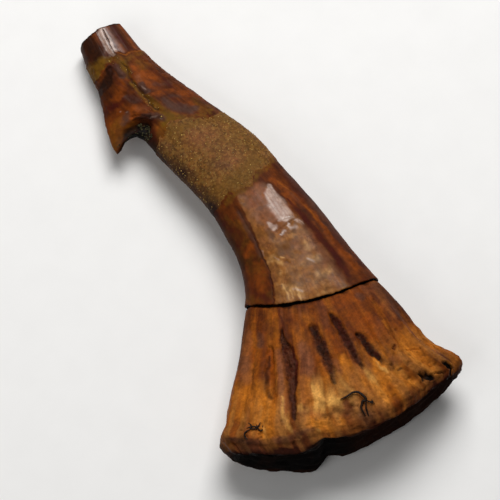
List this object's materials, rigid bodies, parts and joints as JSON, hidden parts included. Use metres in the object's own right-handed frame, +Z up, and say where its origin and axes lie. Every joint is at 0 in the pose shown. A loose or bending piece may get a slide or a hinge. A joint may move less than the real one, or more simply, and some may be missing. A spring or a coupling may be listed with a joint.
{
  "type": "fossil sawfish rostral tooth",
  "caption": "Fossil sawfish rostral tooth with a smooth curved crown, one hooked barb and a flared, fluted base, lying on its broad side.",
  "frame": {"origin": "middle of the tooth's box in plan, on the surface it lies on", "axes": "+Y along the tooth from the flared base to the broken tip, +Z up, +X away from the barb"},
  "size_m": [0.0272, 0.0568, 0.0095],
  "materials": {
    "petrified_tooth": "glossy enamel on the crown, satin fibrous base, with a skin of sandy matrix across the shaft"
  },
  "bodies": {
    "root": {"tooth": "petrified_tooth"}
  },
  "joints": []
}
